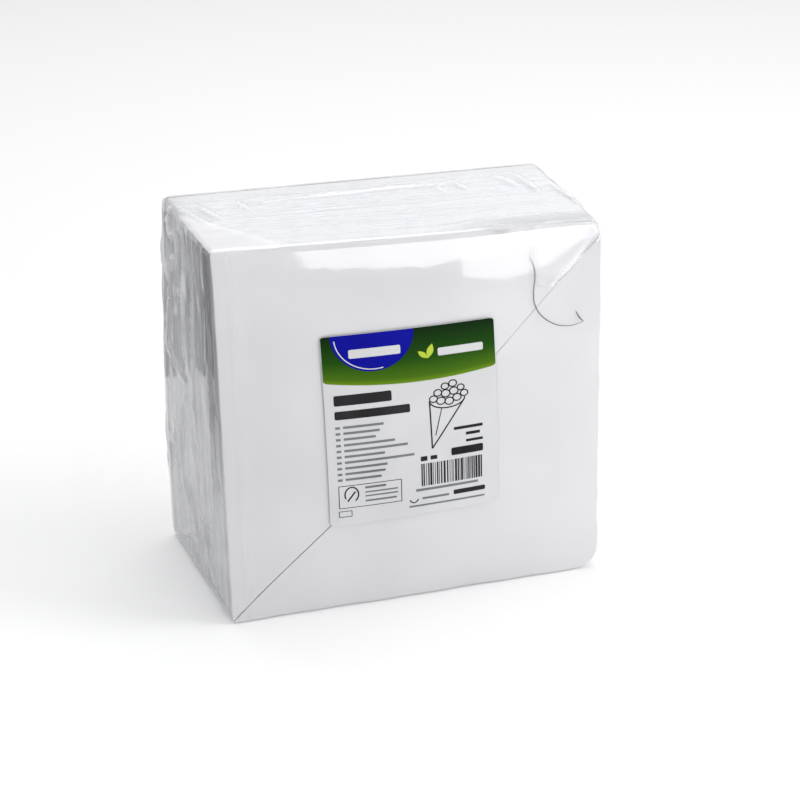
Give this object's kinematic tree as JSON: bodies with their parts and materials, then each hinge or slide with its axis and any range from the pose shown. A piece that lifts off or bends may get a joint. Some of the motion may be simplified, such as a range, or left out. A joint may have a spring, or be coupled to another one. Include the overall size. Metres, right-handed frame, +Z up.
{
  "type": "film-wrapped pack of flat paper cones",
  "caption": "Clear film-wrapped block of flat folded paper cones in two triangular stacks that make a square, with a paper label on its front.",
  "frame": {"origin": "middle of the footprint, on the surface the pack stands on", "axes": "+Z up, the labelled face towards -Y, +X to the right as seen from that face"},
  "size_m": [0.2005, 0.1158, 0.1933],
  "materials": {
    "film": "clear glossy shrink film",
    "label": "coated label paper with a green band",
    "cone_paper": "smooth white greaseproof paper"
  },
  "bodies": {
    "root": {"film_wrap": "film", "label": "label", "upper_stack": "cone_paper", "lower_stack": "cone_paper", "front_upper_cone": "cone_paper", "front_lower_cone": "cone_paper", "back_upper_cone": "cone_paper", "back_lower_cone": "cone_paper"}
  },
  "joints": []
}
